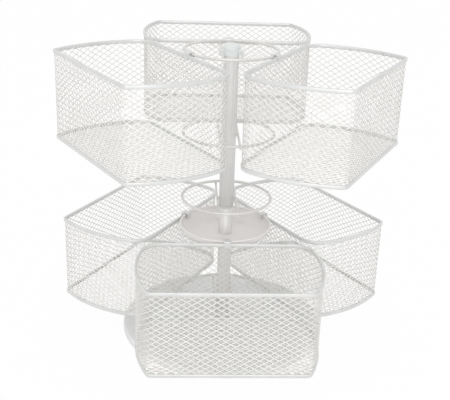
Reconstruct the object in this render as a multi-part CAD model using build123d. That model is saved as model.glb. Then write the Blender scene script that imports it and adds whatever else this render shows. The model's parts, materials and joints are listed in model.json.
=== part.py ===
from build123d import *
import os
from math import sqrt

# Rotating desk organizer: a round base with a fixed post, two tiers that turn on the post,
# and three wire mesh baskets hung on each tier. Millimetres, +Z up, the front is -Y, and the
# origin is on the table under the middle of the base.

# Base: a round pressed steel cover on rubber feet, raised a little round the post
base_radius = 95.0
base_height = 6.5
base_sheet = 1.2
base_edge = 2.4
hub_rise = 2.0
hub_radius = 14.0
hub_slope = 8.0
foot_stand = 1.0
foot_radius = 7.0
foot_inset = 12.0
foot_count = 4

# Post: a fixed tube, screwed to the base from below, with a rounded pin in its top
post_radius = 4.75
post_wall = 0.9
nut_length = 16.0
screw_radius = 3.0
screw_length = 14.0
screw_head_radius = 5.5
screw_head_height = 3.0
screw_head_edge = 1.5
washer_radius = 8.0
washer_thickness = 1.0
pin_head_height = 1.6
pin_tip_radius = 2.0
pin_length = 12.0

# Clearances between pieces
press_gap = 0.02
running_gap = 0.05
face_gap = 0.1
hang_gap = 0.3

# Sleeves: the two tubes that turn on the post, each with nylon bushes
sleeve_wall = 0.6
lower_sleeve_radius = 6.2
upper_sleeve_radius = 6.7
tier_joint_height = 124.9
bush_length = 10.0
bush_flange = 1.2
flute_count = 14
flute_radius = 0.7
flute_depth = 0.3

# Cap on top of the upper sleeve, with an eye at each side for the top cross wires
cap_skirt = 3.0
cap_height = 10.0
cap_plug_length = 12.0
cap_groove = 0.4
cap_chamfer = 0.6
cap_pin_room = 2.0
cap_ear_half = 3.0
cap_ear_wall = 1.2
cap_ear_root = 0.8

# Wire rings and the pair of cross wires under each of them
wire_radius = 1.0
wire_sides = 6
ring_radius = 40.5
cross_wire_offset = 8.4
ring_over_rim = 0.5
ring_drop = 74.0
spare_ring_lift = 8.5
lug_half_length = 3.0
lug_half_height = 1.0

# Dish on top of the lower sleeve
dish_radius = 42.5
dish_sheet = 0.8
dish_lip = 2.0
dish_lip_edge = 0.5
dish_depth = 9.0
dish_corner = 7.0
dish_collar_height = 5.0

# Baskets, all six alike
basket_height = 78.0
upper_rim_height = 268.5
lower_rim_height = 106.5
inner_half = 70.4
outer_half = 66.4
side_bulge = 9.9
outer_edge = 135.0
inner_corner = 18.0
outer_corner = 5.0
band_thickness = 2.0
band_height = 3.4
hook_half_width = 3.0
hook_thickness = 0.8
hook_reach_down = 4.0

# Expanded mesh, with fewer and larger diamonds than the real one
mesh_thickness = 1.0
strand = 3.2
wall_columns = 14
wall_rows = 3
floor_columns = 4
floor_rows = 3
floor_lift = 1.0
panel_sag = 0.48

# How far a cutter reaches past what it cuts
cut_reach = 6.0

# Heights and radii that follow from the sizes above
hub_top = base_height + hub_rise
post_inner = post_radius - post_wall
lower_bore = lower_sleeve_radius - sleeve_wall
upper_bore = upper_sleeve_radius - sleeve_wall
lower_sleeve_bottom = hub_top + face_gap + bush_flange
lower_sleeve_top = tier_joint_height - bush_flange
upper_sleeve_bottom = tier_joint_height + face_gap + bush_flange
seat_radius = dish_radius + hang_gap
inner_edge = seat_radius + band_thickness / 2
top_ring_height = upper_rim_height + ring_over_rim
middle_ring_height = top_ring_height - ring_drop
spare_ring_height = tier_joint_height + spare_ring_lift
dish_lip_height = lower_rim_height + ring_over_rim
lower_ring_height = dish_lip_height - ring_drop
wires_below_ring = 2 * wire_radius + press_gap
cap_bottom = top_ring_height - wires_below_ring - cap_skirt
cap_top = cap_bottom + cap_height
post_top = cap_bottom - cap_pin_room

# Share of a rounded corner's size by which the middle of the rounding stands back
round_share = 1 - sqrt(0.5)


def rod(radius, bottom, top, inner=0.0):
    """Upright cylinder or tube on the Z axis between two heights."""
    solid = Pos(0, 0, bottom) * Cylinder(radius, top - bottom, align=(Align.CENTER, Align.CENTER, Align.MIN))
    if inner > 0:
        solid -= Pos(0, 0, bottom) * Cylinder(inner, top - bottom, align=(Align.CENTER, Align.CENTER, Align.MIN))
    return solid


def block(x_low, x_high, y_low, y_high, z_low, z_high):
    """Box between two corners."""
    size = (x_high - x_low, y_high - y_low, z_high - z_low)
    return Pos(x_low, y_low, z_low) * Box(*size, align=(Align.MIN, Align.MIN, Align.MIN))


def turned(points):
    """Solid of revolution about Z from an outline of (radius, height) points."""
    outline = make_face(Polyline(*points, close=True))
    return revolve(Plane.XZ * outline, Axis.Z)


def round_edge(radius, top, size):
    """Outline points that round an upper outer edge in two facets."""
    return [
        (radius, top - size),
        (radius - round_share * size, top - round_share * size),
        (radius - size, top),
    ]


def save(name, shape):
    """Write one sub-part to its own STEP file."""
    export_step(shape, "parts/" + name + ".step")


def base_plate():
    """Inverted pan with a rounded edge, a raised hub and a screw hole."""
    outside = [(base_radius, foot_stand)] + round_edge(base_radius, base_height, base_edge) + [
        (hub_radius + hub_slope, base_height),
        (hub_radius, hub_top),
        (screw_radius + running_gap, hub_top),
    ]
    inside = [
        (screw_radius + running_gap, hub_top - base_sheet),
        (hub_radius, hub_top - base_sheet),
        (hub_radius + hub_slope, base_height - base_sheet),
        (base_radius - base_edge, base_height - base_sheet),
        (base_radius - base_sheet, base_height - base_edge),
        (base_radius - base_sheet, foot_stand),
    ]
    return turned(outside + inside)


def base_feet():
    """Rubber feet under the sheet, on which the base stands clear of the table."""
    circle = base_radius - foot_inset
    top = base_height - base_sheet - press_gap
    foot = Cylinder(foot_radius, top, align=(Align.CENTER, Align.CENTER, Align.MIN))
    feet = [Rot(0, 0, 360 * (i + 0.5) / foot_count) * Pos(circle, 0, 0) * foot for i in range(foot_count)]
    return Compound(children=feet)


def base_post():
    """Tube that stands on the base."""
    return rod(post_radius, hub_top, post_top - pin_head_height, post_inner)


def post_nut():
    """Threaded plug in the foot of the tube."""
    return rod(post_inner - press_gap, hub_top, hub_top + nut_length, screw_radius + press_gap)


def post_pin():
    """Rounded plastic pin in the top of the tube, on which the upper tier turns."""
    low = post_top - pin_head_height
    return turned([
        (0, low - pin_length),
        (post_inner - press_gap, low - pin_length),
        (post_inner - press_gap, low),
        (post_radius, low),
        (post_radius, low + pin_head_height / 2),
        (pin_tip_radius, post_top),
        (0, post_top),
    ])


def base_screw():
    """Pan head screw from below into the plug."""
    seat = hub_top - base_sheet - washer_thickness
    head = turned([
        (0, seat - screw_head_height),
        (screw_head_radius - screw_head_edge, seat - screw_head_height),
        (screw_head_radius, seat - screw_head_height + screw_head_edge),
        (screw_head_radius, seat),
        (0, seat),
    ])
    return head + rod(screw_radius, seat, seat + screw_length)


def base_washer():
    """Flat washer between the screw's head and the sheet."""
    top = hub_top - base_sheet
    return rod(washer_radius, top - washer_thickness, top, screw_radius + running_gap)


def bush(bore, flange_radius, flange_bottom, upwards):
    """Flanged nylon bush: its flange meets the sleeve's end, its tube runs up or down inside."""
    hole = post_radius + running_gap
    flange = rod(flange_radius, flange_bottom, flange_bottom + bush_flange, hole)
    if upwards:
        low = flange_bottom + bush_flange
    else:
        low = flange_bottom - bush_length
    return flange + rod(bore - press_gap, low, low + bush_length, hole)


def lower_sleeve():
    """Plain tube of the lower tier."""
    return rod(lower_sleeve_radius, lower_sleeve_bottom, lower_sleeve_top, lower_bore)


def upper_sleeve():
    """Fluted tube of the upper tier."""
    tube = rod(upper_sleeve_radius, upper_sleeve_bottom, cap_bottom, upper_bore)
    length = cap_bottom - upper_sleeve_bottom
    out = upper_sleeve_radius - flute_depth + flute_radius
    flute = Pos(out, 0, upper_sleeve_bottom) * Cylinder(
        flute_radius, length, align=(Align.CENTER, Align.CENTER, Align.MIN))
    for i in range(flute_count):
        tube -= Rot(0, 0, 360 * (i + 0.5) / flute_count) * flute
    return tube


def upper_cap():
    """Moulded cap: plug and bearing inside the sleeve, eyes at the sides for the cross wires."""
    middle = (cap_bottom + cap_top) / 2
    body = turned([
        (0, post_top + face_gap),
        (post_radius + running_gap, post_top + face_gap),
        (post_radius + running_gap, cap_bottom - cap_plug_length),
        (upper_bore - press_gap, cap_bottom - cap_plug_length),
        (upper_bore - press_gap, cap_bottom),
        (upper_sleeve_radius, cap_bottom),
        (upper_sleeve_radius, middle - cap_groove),
        (upper_sleeve_radius - cap_groove, middle),
        (upper_sleeve_radius, middle + cap_groove),
        (upper_sleeve_radius, cap_top - cap_chamfer),
        (upper_sleeve_radius - cap_chamfer, cap_top),
        (0, cap_top),
    ])
    height = top_ring_height - wires_below_ring
    out = cross_wire_offset + wire_radius + cap_ear_wall
    reach = wire_radius + cap_ear_wall
    core = rod(upper_sleeve_radius - cap_ear_root, height - reach, height + reach)
    ear = block(0, out, -cap_ear_half, cap_ear_half, height - reach, height + reach) - core
    eye = Rot(90, 0, 0) * Cylinder(wire_radius + press_gap, 2 * cap_ear_half + cut_reach)
    for side in (-1, 1):
        body += Rot(0, 0, 90 - 90 * side) * ear
        body -= Pos(side * cross_wire_offset, 0, height) * eye
    return body


def ring(height):
    """Wire bent to a ring, six sided in section."""
    section = RegularPolygon(wire_radius, wire_sides)
    return revolve(Plane.XZ * Pos(ring_radius, height) * section, Axis.Z)


def cross_wires(ring_height):
    """The two parallel wires under a ring, one on each side of the sleeve."""
    half = sqrt((ring_radius + wire_radius) ** 2 - cross_wire_offset ** 2)
    wire = Rot(90, 0, 0) * Cylinder(wire_radius, 2 * half)
    height = ring_height - wires_below_ring
    pair = [Pos(side * cross_wire_offset, 0, height) * wire for side in (-1, 1)]
    return Compound(children=pair)


def sleeve_lugs(sleeve_radius, ring_heights):
    """Small weld blocks that join the cross wires to a sleeve."""
    lugs = []
    for ring_height in ring_heights:
        low = ring_height - wires_below_ring - lug_half_height
        high = low + 2 * lug_half_height
        lug = block(0, cross_wire_offset - wire_radius, -lug_half_length, lug_half_length, low, high)
        lug -= rod(sleeve_radius, low, high)
        lugs += [Rot(0, 0, side) * lug for side in (0, 180)]
    return Compound(children=lugs)


def dish():
    """Round dish on the lower sleeve: the floor of the middle space and the lower baskets' rail."""
    lip_top = dish_lip_height + wire_radius
    lip_low = dish_lip_height - wire_radius
    wall_out = dish_radius - dish_lip / 2 + dish_sheet / 2
    wall_in = wall_out - dish_sheet
    floor_top = dish_lip_height - dish_depth
    floor_low = floor_top - dish_sheet
    hole = lower_sleeve_radius + press_gap
    stand_back = dish_corner * round_share
    return turned([
        (hole, floor_low - dish_collar_height),
        (hole + dish_sheet, floor_low - dish_collar_height),
        (hole + dish_sheet, floor_low),
        (wall_out - dish_corner, floor_low),
        (wall_out - stand_back, floor_low + stand_back),
        (wall_out, floor_low + dish_corner),
        (wall_out, lip_low),
        (dish_radius, lip_low + dish_lip_edge),
        (dish_radius, lip_top - dish_lip_edge),
        (dish_radius - dish_lip / 2, lip_top),
        (dish_radius - dish_lip, lip_top - dish_lip_edge),
        (wall_in, lip_low),
        (wall_in, floor_top + dish_corner),
        (wall_in - stand_back, floor_top + stand_back),
        (wall_in - dish_corner, floor_top),
        (hole, floor_top),
    ])


def basket_plan():
    """Plan of a basket on the middle of its wall, with the rings' centre at the origin."""
    middle = (inner_edge + outer_edge) / 2
    bulge = (inner_half + outer_half) / 2 + side_bulge
    right = ThreePointArc((inner_half, inner_edge), (bulge, middle), (outer_half, outer_edge))
    left = ThreePointArc((-outer_half, outer_edge), (-bulge, middle), (-inner_half, inner_edge))
    near = Line((-inner_half, inner_edge), (inner_half, inner_edge))
    far = Line((outer_half, outer_edge), (-outer_half, outer_edge))
    plan = make_face([near, right, far, left])
    plan = fillet(plan.vertices().sort_by(Axis.Y)[:2], inner_corner)
    return fillet(plan.vertices().sort_by(Axis.Y)[-2:], outer_corner)


def loop(outside, inside, bottom, top):
    """Upright strip between two plans."""
    return Pos(0, 0, bottom) * extrude(outside - inside, top - bottom)


def band(plan, bottom, top):
    """Flat steel strip that follows the plan."""
    return loop(offset(plan, band_thickness / 2), offset(plan, -band_thickness / 2), bottom, top)


def diamond(width, height):
    """Diamond shaped cutter along Y, its middle at the origin."""
    outline = make_face(Polyline((width / 2, 0), (0, height / 2), (-width / 2, 0), (0, -height / 2), close=True))
    return extrude(Plane.XZ * outline, cut_reach, both=True)


def panel_points(wire, start, end):
    """Points at which the mesh is folded to follow the wire between two distances along it."""
    middle = (start + end) / 2
    near, far = (wire.position_at(place % wire.length, PositionMode.LENGTH) for place in (start, end))
    centre = wire.position_at(middle % wire.length, PositionMode.LENGTH)
    if (centre - (near + far) / 2).length > panel_sag:
        return panel_points(wire, start, middle) + panel_points(wire, middle, end)
    return [near]


def mesh_wall(plan, bottom, top):
    """Strip of expanded mesh folded round the plan, its diamonds in staggered rows."""
    wire = plan.face().outer_wire()
    start = wire.param_at_point((0, inner_edge, 0)) * wire.length
    pitch = wire.length / wall_columns
    rise = (top - bottom) / wall_rows
    folds = []
    for i in range(2 * wall_columns):
        folds += panel_points(wire, start + (i - 0.5) * pitch / 2, start + (i + 0.5) * pitch / 2)
    panels = make_face(Polyline(*folds, close=True))
    outside = offset(panels, mesh_thickness / 2, kind=Kind.INTERSECTION)
    inside = offset(panels, -mesh_thickness / 2, kind=Kind.INTERSECTION)
    cutter = diamond(pitch - strand, rise - strand)
    cutters = []
    for i in range(2 * wall_columns):
        place = (start + i * pitch / 2) % wire.length
        across = wire.tangent_at(place, PositionMode.LENGTH)
        stand = Plane(wire.position_at(place, PositionMode.LENGTH), x_dir=across, z_dir=(0, 0, 1))
        rows = wall_rows - i % 2
        first = bottom + rise * (0.5 + 0.5 * (i % 2))
        cutters += [Pos(0, 0, first + rise * j) * (stand * cutter) for j in range(rows)]
    return loop(outside, inside, bottom, top) - cutters


def mesh_floor(plan, bottom):
    """Flat sheet of expanded mesh inside the lower band."""
    inside = offset(plan, -band_thickness / 2 - press_gap)
    sheet = Pos(0, 0, bottom) * extrude(inside, mesh_thickness)
    near = inner_edge + band_thickness / 2
    pitch = 2 * (outer_half - band_thickness / 2) / floor_columns
    rise = (outer_edge - band_thickness / 2 - near) / floor_rows
    cutter = Rot(90, 0, 0) * diamond(pitch - strand, rise - strand)
    places = []
    for i in range(1 - floor_columns, floor_columns):
        stagger = (floor_columns - 1 - i) % 2
        places += [(i * pitch / 2, near + rise * (j + 0.5 + 0.5 * stagger)) for j in range(floor_rows - stagger)]
    return sheet - [Pos(x, y, bottom) * cutter for x, y in places]


def hook(rim_top):
    """Bent steel strip: welded inside the rim band, over the ring and down behind it."""
    half = hook_half_width
    plate_low = rim_top + ring_over_rim + wire_radius + face_gap
    plate_top = plate_low + hook_thickness
    root_in = inner_edge + band_thickness / 2
    root_out = root_in + hook_thickness
    leg_out = sqrt((ring_radius - wire_radius) ** 2 - half ** 2) - hang_gap
    leg_in = leg_out - hook_thickness
    root = block(-half, half, root_in, root_out, rim_top - band_height, plate_top)
    plate = block(-half, half, leg_in, root_out, plate_low, plate_top)
    leg = block(-half, half, leg_in, leg_out, plate_low - hook_reach_down, plate_top)
    return root + plate + leg


def basket_parts(rim_top):
    """The five pieces of one basket that hangs over +Y."""
    plan = basket_plan()
    bottom = rim_top - basket_height
    wall_low = bottom + band_height
    wall_top = rim_top - band_height
    return {
        "rim_band": band(plan, wall_top, rim_top),
        "mesh_wall": mesh_wall(plan, wall_low, wall_top),
        "bottom_band": band(plan, bottom, wall_low),
        "mesh_floor": mesh_floor(plan, bottom + floor_lift),
        "hook": hook(rim_top),
    }


os.makedirs("parts", exist_ok=True)

save("base_plate", base_plate())
save("base_feet", base_feet())
save("base_post", base_post())
save("post_nut", post_nut())
save("post_pin", post_pin())
save("base_screw", base_screw())
save("base_washer", base_washer())

save("lower_sleeve", lower_sleeve())
save("lower_bush_bottom", bush(lower_bore, lower_sleeve_radius, hub_top + face_gap, True))
save("lower_bush_top", bush(lower_bore, lower_sleeve_radius, lower_sleeve_top, False))
save("center_dish", dish())
save("lower_ring", ring(lower_ring_height))
save("lower_ring_wires", cross_wires(lower_ring_height))
save("lower_weld_lugs", sleeve_lugs(lower_sleeve_radius, [lower_ring_height]))

save("upper_sleeve", upper_sleeve())
save("upper_bush", bush(upper_bore, upper_sleeve_radius, tier_joint_height + face_gap, True))
save("upper_cap", upper_cap())
upper_rings = {"top_ring": top_ring_height, "middle_ring": middle_ring_height, "spare_ring": spare_ring_height}
for name, height in upper_rings.items():
    save(name, ring(height))
    save(name + "_wires", cross_wires(height))
save("upper_weld_lugs", sleeve_lugs(upper_sleeve_radius, [middle_ring_height, spare_ring_height]))

# Rim height of each basket and its turn about the post, from the one over +Y
basket_places = {
    "upper_rear": (upper_rim_height, 0),
    "upper_left": (upper_rim_height, 120),
    "upper_right": (upper_rim_height, -120),
    "lower_front": (lower_rim_height, 180),
    "lower_left": (lower_rim_height, 60),
    "lower_right": (lower_rim_height, -60),
}
basket = basket_parts(0)
for name, (rim_top, turn) in basket_places.items():
    for piece, shape in basket.items():
        save(name + "_" + piece, Rot(0, 0, turn) * Pos(0, 0, rim_top) * shape)
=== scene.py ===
import bmesh
import bpy
import json
from math import atan2, ceil, cos, hypot, pi, radians, sin, sqrt
import numpy as np
from mathutils import Matrix, Vector


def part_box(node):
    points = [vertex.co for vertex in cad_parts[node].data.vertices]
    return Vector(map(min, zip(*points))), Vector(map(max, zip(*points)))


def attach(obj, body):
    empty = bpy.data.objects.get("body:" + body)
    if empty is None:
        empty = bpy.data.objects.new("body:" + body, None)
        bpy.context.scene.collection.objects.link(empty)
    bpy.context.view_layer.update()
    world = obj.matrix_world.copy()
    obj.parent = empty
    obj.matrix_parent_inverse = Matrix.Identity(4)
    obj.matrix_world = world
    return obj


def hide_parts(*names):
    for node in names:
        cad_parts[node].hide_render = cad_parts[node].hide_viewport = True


# Looks of the rotating desk organizer, in metres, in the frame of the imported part

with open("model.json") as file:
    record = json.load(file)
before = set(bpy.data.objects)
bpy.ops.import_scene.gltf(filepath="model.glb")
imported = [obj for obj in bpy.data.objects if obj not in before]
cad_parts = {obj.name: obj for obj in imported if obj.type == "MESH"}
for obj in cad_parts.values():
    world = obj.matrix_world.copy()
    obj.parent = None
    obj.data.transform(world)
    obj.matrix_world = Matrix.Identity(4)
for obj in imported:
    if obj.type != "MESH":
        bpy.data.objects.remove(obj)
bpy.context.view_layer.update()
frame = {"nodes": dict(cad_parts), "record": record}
mm = 0.001

# Camera, from a fit to the rims, rings, dish and base in the photograph
photo_width = 450
photo_height = 400
focal_pixels = 841.7
camera_distance = 716.3 * mm
camera_height = 420.9 * mm
camera_pitch = radians(22.14)
camera_roll = radians(2.05)
camera_turn = radians(3.31)
axis_pixel = (226.2, 200.6)
sensor_width = 36.0

# Plan of a basket on the middle of its wall, the same sizes as in the CAD
inner_half = 70.4 * mm
outer_half = 66.4 * mm
side_bulge = 9.9 * mm
inner_edge = 43.8 * mm
outer_edge = 135.0 * mm
inner_corner = 18.0 * mm
outer_corner = 5.0 * mm
basket_height = 78.0 * mm
band_height = 3.4 * mm
band_thickness = 2.0 * mm
band_round = 0.8 * mm
floor_height = 1.5 * mm

# Expanded mesh: one diamond's width and height, the knots where strands meet, and the sheet
diamond_width = 8.0 * mm
diamond_height = 5.0 * mm
knot_half_width = 0.62 * mm
knot_half_height = 0.24 * mm
knot_lean = 0.2 * mm
sheet_thickness = 0.35 * mm

# Rings, dish and base
wire_radius = 1.0 * mm
ring_wire_radius = 1.25 * mm
ring_radius = 40.5 * mm
weld_radius = 1.15 * mm
cross_wire_offset = 8.4 * mm
hook_thickness = 0.8 * mm
hook_bend = 0.9 * mm
hook_edge = 0.2 * mm
hook_reach_down = 4.4 * mm
hook_weld_bite = 0.1 * mm
hook_weld_inset = 0.15 * mm
hook_weld_half = 0.95 * mm
hook_weld_round = 0.5 * mm
strip_crease = radians(50)
dish_radius = 42.5 * mm
dish_sheet = 0.8 * mm
dish_lip = 2.0 * mm
dish_depth = 9.0 * mm
dish_curve = 14.0 * mm
dish_collar_height = 5.0 * mm
sleeve_gap = 0.02 * mm
base_radius = 95.0 * mm
base_height = 6.5 * mm
base_sheet = 1.2 * mm
base_edge = 2.4 * mm
hub_radius = 14.0 * mm
hub_slope = 8.0 * mm
hub_hole_radius = 3.05 * mm
foot_stand = 1.0 * mm
sheet_crease = radians(40)

# Tubes
tube_wall = 0.6 * mm
tube_edge = 0.3 * mm
flute_count = 14
flute_depth = 0.3 * mm
flute_share = 0.45
flute_steps = 14

# Steps round the plan, the rings, the tubes, the dish and the base
plan_steps = 720
ring_steps = 120
tube_steps = 96
dish_steps = 120
base_steps = 160

# Materials, each named after its slot. Only pale_enamel, the base cover's, stands under grey_enamel

# Two colours that the paint runs between, roughness, share of metal and strength of the grain
lacquers = {
    "silver_wire": ((0.72, 0.71, 0.69), (0.78, 0.77, 0.75), 0.34, 0.3, 0.03),
    "silver_band": ((0.70, 0.71, 0.70), (0.76, 0.77, 0.76), 0.36, 0.5, 0.08),
    "silver_mesh": ((0.825, 0.81, 0.785), (0.885, 0.87, 0.845), 0.45, 0.15, 0.08),
    "grey_enamel": ((0.815, 0.79, 0.78), (0.835, 0.81, 0.80), 0.12, 0.0, 0.03),
    "pale_enamel": ((0.82, 0.83, 0.83), (0.86, 0.87, 0.87), 0.4, 0.0, 0.05),
    "zinc_steel": ((0.50, 0.50, 0.48), (0.60, 0.60, 0.58), 0.35, 0.9, 0.15),
}

# Two colours, roughness and strength of the drawn lines
drawn_tubes = {
    "plain_tube": ((0.76, 0.75, 0.73), (0.81, 0.80, 0.78), 0.42, 0.03),
    "fluted_tube": ((0.72, 0.715, 0.705), (0.77, 0.765, 0.755), 0.45, 0.05),
}

# Two colours and roughness
mouldings = {
    "cap_plastic": ((0.72, 0.75, 0.74), (0.78, 0.81, 0.80), 0.4),
    "nylon": ((0.60, 0.60, 0.58), (0.66, 0.66, 0.64), 0.5),
    "rubber": ((0.07, 0.07, 0.07), (0.10, 0.10, 0.10), 0.7),
}

# Textures: how fine they are on one metre, how far the roughness runs either way, and depths
cloud_scale = 60
sheen_scale = 400
line_scale = 1400
grain_scale = 1500
mottle_scale = 150
pore_scale = 2500
paint_spread = 0.05
line_spread = 0.08
grain_depth = 0.05 * mm
pore_depth = 0.04 * mm
pore_strength = 0.2
tube_metal = 0.3

# Light: strength of the surroundings as lit, as mirrored and as seen, and the soft lamp in front
soft_light = 0.93
mirrored_light = 0.9
seen_light = 1.0
lamp_place = (-0.15, -1.5, 0.8)
lamp_aim = (0, 0, 0.14)
lamp_size = 1.5
lamp_power = 7.5
floor_reach = 12.0
floor_shade = 0.9
floor_glow = 0.96

# How far each basket is turned about the post, in degrees
basket_turns = {
    "upper_rear": 0,
    "upper_left": 120,
    "upper_right": -120,
    "lower_front": 180,
    "lower_left": 60,
    "lower_right": -60,
}


# Camera

def add_camera():
    """Camera at the photograph's place."""
    data = bpy.data.cameras.new("camera")
    data.sensor_width = sensor_width
    data.lens = focal_pixels * sensor_width / photo_width
    data.shift_x = (photo_width / 2 - axis_pixel[0]) / photo_width
    data.shift_y = (axis_pixel[1] - photo_height / 2) / photo_width
    data.clip_end = 100
    camera = bpy.data.objects.new("camera", data)
    bpy.context.scene.collection.objects.link(camera)
    place = Matrix.Translation((0, -camera_distance, camera_height))
    aim = Matrix.Rotation(pi / 2 - camera_pitch, 4, "X") @ Matrix.Rotation(camera_roll, 4, "Z")
    camera.matrix_world = Matrix.Rotation(-camera_turn, 4, "Z") @ place @ aim
    bpy.context.scene.camera = camera


# Materials

def new_material(name, color, roughness, metallic=0.0):
    """Principled material, its node tree and its shader."""
    material = bpy.data.materials.new(name)
    material.use_nodes = True
    shader = material.node_tree.nodes["Principled BSDF"]
    shader.inputs["Base Color"].default_value = (*color, 1)
    shader.inputs["Roughness"].default_value = roughness
    shader.inputs["Metallic"].default_value = metallic
    return material, material.node_tree, shader


def noise(tree, scale, detail=3.0, stretch=(1, 1, 1)):
    """Noise on the object's own coordinates, one unit a metre."""
    where = tree.nodes.new("ShaderNodeTexCoord")
    mapping = tree.nodes.new("ShaderNodeMapping")
    mapping.inputs["Scale"].default_value = stretch
    texture = tree.nodes.new("ShaderNodeTexNoise")
    texture.inputs["Scale"].default_value = scale
    texture.inputs["Detail"].default_value = detail
    tree.links.new(where.outputs["Object"], mapping.inputs["Vector"])
    tree.links.new(mapping.outputs["Vector"], texture.inputs["Vector"])
    return texture.outputs["Fac"]


def vary_color(tree, shader, factor, low, high):
    """Base colour that runs between two colours with a factor."""
    ramp = tree.nodes.new("ShaderNodeValToRGB")
    ramp.color_ramp.elements[0].position = 0.3
    ramp.color_ramp.elements[1].position = 0.7
    ramp.color_ramp.elements[0].color = (*low, 1)
    ramp.color_ramp.elements[1].color = (*high, 1)
    tree.links.new(factor, ramp.inputs["Fac"])
    tree.links.new(ramp.outputs["Color"], shader.inputs["Base Color"])


def vary_roughness(tree, shader, factor, middle, spread):
    """Roughness that runs either side of a middle value with a factor."""
    span = tree.nodes.new("ShaderNodeMapRange")
    span.inputs["To Min"].default_value = middle - spread
    span.inputs["To Max"].default_value = middle + spread
    tree.links.new(factor, span.inputs["Value"])
    tree.links.new(span.outputs["Result"], shader.inputs["Roughness"])


def add_bump(tree, shader, factor, strength, distance):
    """Bump from a factor."""
    bump = tree.nodes.new("ShaderNodeBump")
    bump.inputs["Strength"].default_value = strength
    bump.inputs["Distance"].default_value = distance
    tree.links.new(factor, bump.inputs["Height"])
    tree.links.new(bump.outputs["Normal"], shader.inputs["Normal"])


def lacquer(name, low, high, roughness, metallic, grain):
    """Satin lacquer with a faint grain and a cloudy shade."""
    material, tree, shader = new_material(name, high, roughness, metallic)
    vary_color(tree, shader, noise(tree, cloud_scale), low, high)
    vary_roughness(tree, shader, noise(tree, sheen_scale), roughness, paint_spread)
    add_bump(tree, shader, noise(tree, grain_scale, 2), grain, grain_depth)
    return material


def drawn_tube(name, low, high, roughness, grain):
    """Drawn metal tube with fine lines along Z."""
    material, tree, shader = new_material(name, high, roughness, tube_metal)
    lines = noise(tree, line_scale, 2, (1, 1, 0.01))
    vary_color(tree, shader, lines, low, high)
    vary_roughness(tree, shader, lines, roughness, line_spread)
    add_bump(tree, shader, lines, grain, grain_depth)
    return material


def moulded(name, low, high, roughness):
    """Moulded plastic or rubber with a fine grain."""
    material, tree, shader = new_material(name, high, roughness)
    vary_color(tree, shader, noise(tree, mottle_scale), low, high)
    add_bump(tree, shader, noise(tree, pore_scale, 2), pore_strength, pore_depth)
    return material


def make_materials():
    """All materials by name."""
    made = {name: lacquer(name, *look) for name, look in lacquers.items()}
    made.update({name: drawn_tube(name, *look) for name, look in drawn_tubes.items()})
    made.update({name: moulded(name, *look) for name, look in mouldings.items()})
    return made


# Plan of a basket as lines and arcs

def circle_through(a, b, c):
    """Centre and radius of the circle through three points."""
    a, b, c = np.array([a, b, c])
    centre = np.linalg.solve([2 * (b - a), 2 * (c - a)], [b @ b - a @ a, c @ c - a @ a])
    return centre, hypot(*(a - centre))


def corner_arc(centre, radius, edge, inward, size):
    """Centre of the rounding between a straight edge and the side's arc, and where it meets the arc."""
    y = edge + inward * size
    middle = np.array([centre[0] + sqrt((radius - size) ** 2 - (y - centre[1]) ** 2), y])
    return middle, atan2(middle[1] - centre[1], middle[0] - centre[0])


def half_plan():
    """Lines and arcs of the plan's right half, from the middle of the inner edge to that of the outer."""
    middle = (inner_edge + outer_edge) / 2
    bulge = (inner_half + outer_half) / 2 + side_bulge
    centre, radius = circle_through((inner_half, inner_edge), (bulge, middle), (outer_half, outer_edge))
    near, low = corner_arc(centre, radius, inner_edge, 1, inner_corner)
    far, high = corner_arc(centre, radius, outer_edge, -1, outer_corner)
    return [
        ("line", np.array([0, inner_edge]), np.array([near[0], inner_edge])),
        ("arc", near, inner_corner, -pi / 2, low),
        ("arc", centre, radius, low, high),
        ("arc", far, outer_corner, high, pi / 2),
        ("line", np.array([far[0], outer_edge]), np.array([0, outer_edge])),
    ]


def length_of(part):
    """Length of a line or an arc."""
    if part[0] == "line":
        return float(np.linalg.norm(part[2] - part[1]))
    return part[2] * abs(part[4] - part[3])


half_parts = half_plan()
half_lengths = [length_of(part) for part in half_parts]
plan_length = 2 * sum(half_lengths)


def along_plan(distances):
    """Points and outward normals on the plan at distances from the middle of the inner edge."""
    distances = np.asarray(distances, float) % plan_length
    mirror = distances > plan_length / 2
    rest = np.where(mirror, plan_length - distances, distances)
    points = np.zeros((len(rest), 2))
    normals = np.zeros((len(rest), 2))
    start = 0.0
    for part, length in zip(half_parts, half_lengths):
        here = (rest >= start) & (rest <= start + length + 1e-12)
        share = ((rest - start) / length)[here, None]
        if part[0] == "line":
            points[here] = part[1] + share * (part[2] - part[1])
            run = (part[2] - part[1]) / length
            normals[here] = (run[1], -run[0])
        else:
            angle = part[3] + share * (part[4] - part[3])
            normals[here] = np.hstack([np.cos(angle), np.sin(angle)])
            points[here] = part[1] + part[2] * normals[here]
        start += length
    points[mirror, 0] *= -1
    normals[mirror, 0] *= -1
    return points, normals


def plan_stations(arc_step=radians(5)):
    """Distances along the plan close enough together for its arcs."""
    half = [0.0]
    start = 0.0
    for part, length in zip(half_parts, half_lengths):
        count = 1
        if part[0] == "arc":
            count = max(2, ceil(abs(part[4] - part[3]) / arc_step))
        half += [start + length * (i + 1) / count for i in range(count)]
        start += length
    return half[:-1] + [plan_length - place for place in reversed(half[1:])]


# Meshes

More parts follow.
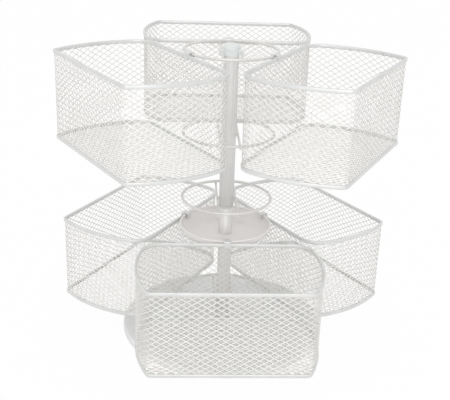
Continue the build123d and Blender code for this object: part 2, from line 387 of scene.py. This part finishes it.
def make_piece(name, vertices, faces, slot, body, replaced, sharp=None, paint=None):
    """Smooth shaded mesh piece that rides on a body, in place of CAD nodes. sharp is the angle that
    stays an edge, and paint the material where it isn't the slot's."""
    mesh = bpy.data.meshes.new(name)
    mesh.from_pydata(np.asarray(vertices).tolist(), [], faces)
    work = bmesh.new()
    work.from_mesh(mesh)
    bmesh.ops.recalc_face_normals(work, faces=work.faces)
    work.to_mesh(mesh)
    work.free()
    mesh.polygons.foreach_set("use_smooth", [True] * len(mesh.polygons))
    if sharp:
        mesh.set_sharp_from_angle(angle=sharp)
    mesh.update()
    mesh.materials.append(materials[paint or slot])
    piece = bpy.data.objects.new(name, mesh)
    bpy.context.scene.collection.objects.link(piece)
    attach(piece, body)
    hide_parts(*replaced)


def grid_faces(rows, columns, closed_rows=True, closed_columns=True):
    """Quads between neighbouring rows and columns of points stored row by row."""
    faces = []
    for i in range(rows if closed_rows else rows - 1):
        for j in range(columns if closed_columns else columns - 1):
            here = i * columns
            after = (i + 1) % rows * columns
            beside = (j + 1) % columns
            faces.append((here + j, here + beside, after + beside, after + j))
    return faces


def rounded_section(half_width, half_height, size, steps=3):
    """Points round a rectangle with rounded corners, about its middle."""
    points = []
    for corner in range(4):
        sign_x = 1 if corner in (0, 3) else -1
        sign_y = 1 if corner in (0, 1) else -1
        for i in range(steps + 1):
            angle = pi / 2 * (corner + i / steps)
            x = sign_x * (half_width - size) + size * cos(angle)
            y = sign_y * (half_height - size) + size * sin(angle)
            points.append((x, y))
    return np.array(points)


def turn_about_z(vertices, degrees_turned):
    """Points turned about the Z axis."""
    angle = radians(degrees_turned)
    matrix = np.array([[cos(angle), -sin(angle), 0], [sin(angle), cos(angle), 0], [0, 0, 1]])
    return vertices @ matrix.T


def band_mesh():
    """Steel band with rounded edges round the plan, its top at height 0."""
    section = rounded_section(band_thickness / 2, band_height / 2, band_round)
    points, normals = along_plan(plan_stations())
    vertices = []
    for point, normal in zip(points, normals):
        for out, up in section:
            vertices.append((*(point + out * normal), up - band_height / 2))
    return np.array(vertices), grid_faces(len(points), len(section))


def lattice(knots, bonds, place):
    """Mesh of knots joined by strands, as in expanded metal. knots are (column, row) pairs. bonds are
    pairs of knots, the left one first, and whether the strand rises. place turns (along, up, out)
    into points."""
    index = {knot: i for i, knot in enumerate(knots)}
    corners = [(0, -1), (1, 0), (0, 1), (-1, 0)]
    flat = []
    for column, row in knots:
        for layer in (1, -1):
            for side, up in corners:
                flat.append((
                    column * diamond_step + side * knot_half_width,
                    row * rise_step + up * knot_half_height,
                    layer * sheet_thickness / 2 - up * knot_lean,
                ))
    faces = []
    south, east, north, west = range(4)
    covered = set()

    def front(knot, corner):
        return index[knot] * 8 + corner

    def skirt(a, b):
        """Side face between the two layers below the front edge that runs from a to b."""
        faces.append((b, a, a + 4, b + 4))

    for knot in knots:
        base = index[knot] * 8
        faces.append((base, base + 1, base + 2, base + 3))
        faces.append((base + 7, base + 6, base + 5, base + 4))
    for a, b, rising in bonds:
        if rising:
            quad = (front(a, east), front(b, south), front(b, west), front(a, north))
            covered |= {(a, east), (b, west)}
        else:
            quad = (front(b, west), front(b, north), front(a, east), front(a, south))
            covered |= {(a, south), (b, north)}
        faces.append(quad)
        faces.append(tuple(corner + 4 for corner in reversed(quad)))
        if rising:
            skirt(quad[0], quad[1])
            skirt(quad[2], quad[3])
        else:
            skirt(quad[1], quad[2])
            skirt(quad[3], quad[0])
    for knot in knots:
        for corner, following in ((south, east), (east, north), (north, west), (west, south)):
            if (knot, corner) not in covered:
                skirt(front(knot, corner), front(knot, following))
    return place(np.array(flat)), faces


# The wall's mesh: whole diamonds round the plan and up the wall
wall_columns = round(plan_length / diamond_width)
wall_rows = round((basket_height - 2 * band_height) / diamond_height)
diamond_step = plan_length / wall_columns / 2
rise_step = (basket_height - 2 * band_height) / wall_rows / 2


def wall_mesh():
    """Expanded mesh folded round the plan between the two bands, the rim at height 0."""
    knots = []
    bonds = []
    columns = 2 * wall_columns
    rows = range(-1, 2 * wall_rows + 2)
    for column in range(columns):
        for row in rows:
            if (column + row) % 2:
                continue
            knots.append((column, row))
            right = (column + 1) % columns
            if row + 1 in rows:
                bonds.append(((column, row), (right, row + 1), True))
            if row - 1 in rows:
                bonds.append(((column, row), (right, row - 1), False))

    def place(flat):
        points, normals = along_plan(flat[:, 0])
        plane = points + flat[:, 2:] * normals
        return np.column_stack([plane, flat[:, 1] + band_height - basket_height])

    return lattice(knots, bonds, place)


def inside_plan(x, y):
    """Whether a point is inside the plan."""
    outline, normals = along_plan(np.linspace(0, plan_length, plan_steps, endpoint=False))
    gap = np.array([x, y]) - outline
    nearest = (gap ** 2).sum(1).argmin()
    return gap[nearest] @ normals[nearest] < 0


def floor_mesh():
    """Flat expanded mesh of the floor, its edge ending inside the lower band."""
    outline, normals = along_plan(np.linspace(0, plan_length, 2 * plan_steps, endpoint=False))
    middle = (inner_edge + outer_edge) / 2
    reach_x = ceil((inner_half + side_bulge) / diamond_step) + 1
    reach_y = ceil((outer_edge - inner_edge) / 2 / rise_step) + 1
    within = set()
    for column in range(-reach_x, reach_x + 1):
        for row in range(-reach_y, reach_y + 1):
            if (column + row) % 2 == 0 and inside_plan(column * diamond_step, middle + row * rise_step):
                within.add((column, row))
    bonds = []
    knots = set()
    for column in range(-reach_x - 1, reach_x + 1):
        for row in range(-reach_y - 1, reach_y + 2):
            if (column + row) % 2:
                continue
            for step in (1, -1):
                a = (column, row)
                b = (column + 1, row + step)
                if a in within or b in within:
                    bonds.append((a, b, step > 0))
                    knots |= {a, b}

    def place(flat):
        plane = flat[:, :2] + (0, middle)
        gap = plane[:, None, :] - outline[None, :, :]
        nearest = (gap ** 2).sum(2).argmin(1)
        outside = ((plane - outline[nearest]) * normals[nearest]).sum(1) > 0
        plane[outside] = outline[nearest][outside]
        return np.column_stack([plane, flat[:, 2] + floor_height - basket_height])

    return lattice(sorted(knots), bonds, place)


def strip_mesh(path, section):
    """Section swept along a path of (out, up) points in the YZ plane, with closed ends."""
    path = np.array(path)
    run = np.gradient(path, axis=0)
    run /= np.linalg.norm(run, axis=1)[:, None]
    across = np.column_stack([-run[:, 1], run[:, 0]])
    vertices = []
    for point, side in zip(path, across):
        for wide, thick in section:
            vertices.append((wide, *(point + thick * side)))
    count = len(section)
    faces = grid_faces(len(path), count, closed_rows=False)
    faces.append(tuple(range(count)))
    faces.append(tuple(range((len(path) - 1) * count, len(path) * count)))
    return np.array(vertices), faces


def lathe(profile, steps):
    """Surface of revolution about Z through a closed profile of (radius, height) points."""
    vertices = []
    for i in range(steps):
        angle = 2 * pi * i / steps
        vertices += [(radius * cos(angle), radius * sin(angle), height) for radius, height in profile]
    return np.array(vertices), grid_faces(steps, len(profile))


def arc_points(centre_radius, centre_height, size, start, end, steps=6, flat=1.0):
    """Points of an arc in a profile between two angles in degrees. flat is its height over its width."""
    points = []
    for i in range(steps + 1):
        angle = radians(start + (end - start) * i / steps)
        points.append((centre_radius + size * cos(angle), centre_height + flat * size * sin(angle)))
    return points


def torus(radius, size, height, sides=12):
    """Round wire bent to a ring."""
    return lathe(arc_points(radius, height, size, 0, 360 - 360 / sides, sides - 1), ring_steps)


# Pieces

def node_top(node):
    """Highest point of a CAD node."""
    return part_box(node)[1][2]


def add_baskets():
    """Bands and fine mesh of all six baskets."""
    band = band_mesh()
    wall = wall_mesh()
    floor = floor_mesh()
    for name, turned in basket_turns.items():
        body = name + "_basket"
        rim = (0, 0, node_top(name + "_rim_band"))
        foot = (0, 0, node_top(name + "_bottom_band"))
        parts = [
            ("_rim", band, rim, "silver_band", "_rim_band"),
            ("_foot", band, foot, "silver_band", "_bottom_band"),
            ("_wall", wall, rim, "silver_mesh", "_mesh_wall"),
            ("_floor", floor, rim, "silver_mesh", "_mesh_floor"),
        ]
        for ending, (vertices, faces), lift, slot, node in parts:
            placed = turn_about_z(vertices, turned) + lift
            make_piece(name + ending, placed, faces, slot, body, [name + node])


def add_hooks():
    """Hooks with rounded bends, one on each basket, each with a weld between hook and rim."""
    low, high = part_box("upper_rear_hook")
    low, high = (np.array(corner) - (0, 0, node_top("upper_rear_rim_band")) for corner in (low, high))
    half = hook_thickness / 2
    leg, root, top = low[1] + half, high[1] - half, high[2] - half
    path = [(root, low[2]), (root, top - 2 * hook_bend)]
    path += arc_points(root - hook_bend, top - hook_bend, hook_bend, 0, 90)
    path += arc_points(leg + hook_bend, top - hook_bend, hook_bend, 90, 180)
    path += [(leg, top - 2 * hook_bend), (leg, top - hook_reach_down)]
    weld = [(inner_edge, -hook_weld_bite), (inner_edge, high[2] - hook_thickness + hook_weld_bite)]
    vertices, faces = joined([
        strip_mesh(path, rounded_section(high[0], half, hook_edge)),
        strip_mesh(weld, rounded_section(high[0] - hook_weld_inset, hook_weld_half, hook_weld_round)),
    ])
    for name, turned in basket_turns.items():
        lift = (0, 0, node_top(name + "_rim_band"))
        placed = turn_about_z(vertices, turned) + lift
        body = name + "_basket"
        make_piece(name + "_hanger", placed, faces, "silver_band", body, [name + "_hook"], strip_crease)


def bead(middle, radius, steps=10):
    """Round weld bead about a point."""
    vertices = [(0, 0, radius), (0, 0, -radius)]
    count = 2 * steps
    for i in range(1, steps):
        slope = pi * i / steps
        reach = radius * sin(slope)
        for j in range(count):
            turn = pi * j / steps
            vertices.append((reach * cos(turn), reach * sin(turn), radius * cos(slope)))
    sides = grid_faces(steps - 1, count, closed_rows=False)
    faces = [tuple(corner + 2 for corner in face) for face in sides]
    last = 2 + (steps - 2) * count
    for j in range(count):
        faces.append((0, 2 + j, 2 + (j + 1) % count))
        faces.append((1, last + (j + 1) % count, last + j))
    return np.array(vertices) + middle, faces


def joined(parts):
    """One list of vertices and faces out of several."""
    vertices = []
    faces = []
    for points, corners in parts:
        faces += [tuple(corner + len(vertices) for corner in face) for face in corners]
        vertices += np.asarray(points).tolist()
    return np.array(vertices), faces


def add_rings():
    """Round rings in place of the six sided ones, with weld beads where they meet the cross wires."""
    along = sqrt(ring_radius ** 2 - cross_wire_offset ** 2)
    for node, body in (
        ("lower_ring", "lower_tier"),
        ("spare_ring", "upper_tier"),
        ("middle_ring", "upper_tier"),
        ("top_ring", "upper_tier"),
    ):
        low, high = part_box(node)
        height = (low[2] + high[2]) / 2
        parts = [torus(ring_radius, ring_wire_radius, height)]
        for side in (-cross_wire_offset, cross_wire_offset):
            for end in (-along, along):
                parts.append(bead((side, end, height - wire_radius), weld_radius))
        make_piece(node + "_wire", *joined(parts), "silver_wire", body, [node])


def tube_mesh(outline, inner, bottom, top):
    """Tube between two heights with broken edges. outline gives the outer radius at each angle."""
    columns = len(outline)
    angles = 2 * pi * np.arange(columns) / columns
    bore = np.full(columns, inner)
    levels = [
        (bore, bottom),
        (outline - tube_edge, bottom),
        (outline, bottom + tube_edge),
        (outline, top - tube_edge),
        (outline - tube_edge, top),
        (bore, top),
    ]
    vertices = []
    for radii, height in levels:
        level = [radii * np.cos(angles), radii * np.sin(angles), np.full(columns, height)]
        vertices.append(np.column_stack(level))
    return np.vstack(vertices), grid_faces(len(levels), columns)


def add_tubes():
    """Smooth lower tube and fluted upper tube."""
    for node, name, slot, body, steps in (
        ("lower_sleeve", "lower_tube", "plain_tube", "lower_tier", tube_steps),
        ("upper_sleeve", "upper_tube", "fluted_tube", "upper_tier", flute_count * flute_steps),
    ):
        low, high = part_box(node)
        radius = high[0]
        outline = np.full(steps, radius)
        if slot == "fluted_tube":
            phase = np.arange(steps) / steps * flute_count % 1
            inside = np.abs(phase - 0.5) / (flute_share / 2)
            outline -= flute_depth * np.sqrt(np.clip(1 - inside ** 2, 0, 1))
        tube = tube_mesh(outline, radius - tube_wall, low[2], high[2])
        make_piece(name, *tube, slot, body, [node], strip_crease)


def add_dish():
    """Pressed dish with a rolled lip."""
    lip = node_top("center_dish") - wire_radius
    floor_top = lip - dish_depth
    floor_low = floor_top - dish_sheet
    wall_out = dish_radius - dish_lip / 2 + dish_sheet / 2
    wall_in = wall_out - dish_sheet
    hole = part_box("lower_sleeve")[1][0] + sleeve_gap
    collar = floor_low - dish_collar_height
    profile = [(hole, collar), (hole + dish_sheet, collar), (hole + dish_sheet, floor_low)]
    rise = (dish_depth - dish_lip / 2) / dish_curve
    middle = lip - dish_lip / 2
    profile += arc_points(wall_out - dish_curve, middle - dish_sheet, dish_curve, -90, 0, 10, rise)
    profile += arc_points(dish_radius - dish_lip / 2, lip, dish_lip / 2, -60, 240, 14)
    profile += arc_points(wall_in - dish_curve, middle, dish_curve, 0, -90, 10, rise)
    profile += [(hole, floor_top)]
    dish = lathe(profile, dish_steps)
    make_piece("dish", *dish, "grey_enamel", "lower_tier", ["center_dish"], sheet_crease)


def add_base():
    """Pressed base cover with a rounded edge."""
    hub_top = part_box("base_plate")[1][2]
    foot = hub_radius + hub_slope
    inner = base_edge - base_sheet
    profile = [(base_radius, foot_stand)]
    profile += arc_points(base_radius - base_edge, base_height - base_edge, base_edge, 0, 90)
    profile += [(foot, base_height), (hub_radius, hub_top), (hub_hole_radius, hub_top)]
    profile += [(hub_hole_radius, hub_top - base_sheet), (hub_radius, hub_top - base_sheet)]
    profile += [(foot, base_height - base_sheet)]
    profile += arc_points(base_radius - base_edge, base_height - base_edge, inner, 90, 0)
    profile += [(base_radius - base_sheet, foot_stand)]
    vertices, faces = lathe(profile, base_steps)
    replaced = ["base_plate"]
    paint = "pale_enamel"
    make_piece("base_cover", vertices, faces, "grey_enamel", "base", replaced, sheet_crease, paint)


def dress_nodes():
    """Materials on the CAD nodes that stay in view."""
    slots = {part["node"]: part["material_slot"] for part in frame["record"]["subparts"]}
    for name, node in frame["nodes"].items():
        node.data.materials.clear()
        node.data.materials.append(materials[slots[name]])


# Stage

def add_stage():
    """Pale floor, white surroundings and a soft lamp."""
    world = bpy.data.worlds.new("studio")
    bpy.context.scene.world = world
    world.use_nodes = True
    tree = world.node_tree
    path = tree.nodes.new("ShaderNodeLightPath")
    soft = tree.nodes["Background"]
    soft.inputs["Color"].default_value = (1, 1, 1, 1)
    soft.inputs["Strength"].default_value = soft_light
    result = soft.outputs["Background"]
    for ray, strength in (("Is Glossy Ray", mirrored_light), ("Is Camera Ray", seen_light)):
        other = tree.nodes.new("ShaderNodeBackground")
        other.inputs["Color"].default_value = (1, 1, 1, 1)
        other.inputs["Strength"].default_value = strength
        mix = tree.nodes.new("ShaderNodeMixShader")
        tree.links.new(path.outputs[ray], mix.inputs["Fac"])
        tree.links.new(result, mix.inputs[1])
        tree.links.new(other.outputs["Background"], mix.inputs[2])
        result = mix.outputs["Shader"]
    tree.links.new(result, tree.nodes["World Output"].inputs["Surface"])

    mesh = bpy.data.meshes.new("floor")
    corners = [(floor_reach * x, floor_reach * y, 0) for x, y in ((-1, -1), (1, -1), (1, 1), (-1, 1))]
    mesh.from_pydata(corners, [], [(0, 1, 2, 3)])
    mesh.materials.append(floor_material())
    floor = bpy.data.objects.new("floor", mesh)
    bpy.context.scene.collection.objects.link(floor)
    add_lamp()


def floor_material():
    """Pale matt floor that the camera sees as white, with the object's shadow faintly on it."""
    material = bpy.data.materials.new("floor")
    material.use_nodes = True
    tree = material.node_tree
    shader = tree.nodes["Principled BSDF"]
    shader.inputs["Base Color"].default_value = (floor_shade, floor_shade, floor_shade, 1)
    shader.inputs["Roughness"].default_value = 0.9
    shader.inputs["Specular IOR Level"].default_value = 0.0
    white = tree.nodes.new("ShaderNodeEmission")
    white.inputs["Color"].default_value = (1, 1, 1, 1)
    white.inputs["Strength"].default_value = 1.0
    path = tree.nodes.new("ShaderNodeLightPath")
    share = tree.nodes.new("ShaderNodeMath")
    share.operation = "MULTIPLY"
    share.inputs[1].default_value = floor_glow
    mix = tree.nodes.new("ShaderNodeMixShader")
    tree.links.new(path.outputs["Is Camera Ray"], share.inputs[0])
    tree.links.new(share.outputs["Value"], mix.inputs["Fac"])
    tree.links.new(shader.outputs["BSDF"], mix.inputs[1])
    tree.links.new(white.outputs["Emission"], mix.inputs[2])
    tree.links.new(mix.outputs["Shader"], tree.nodes["Material Output"].inputs["Surface"])
    return material


def add_lamp():
    """Soft square lamp that points at the middle of the object."""
    data = bpy.data.lights.new("key", "AREA")
    data.size = lamp_size
    data.energy = lamp_power
    light = bpy.data.objects.new("key", data)
    light.location = lamp_place
    light.rotation_euler = (Vector(lamp_aim) - Vector(lamp_place)).to_track_quat("-Z", "Y").to_euler()
    bpy.context.scene.collection.objects.link(light)


bpy.context.scene.view_settings.view_transform = "Standard"
add_camera()
materials = make_materials()
dress_nodes()
add_baskets()
add_hooks()
add_rings()
add_tubes()
add_dish()
add_base()
add_stage()
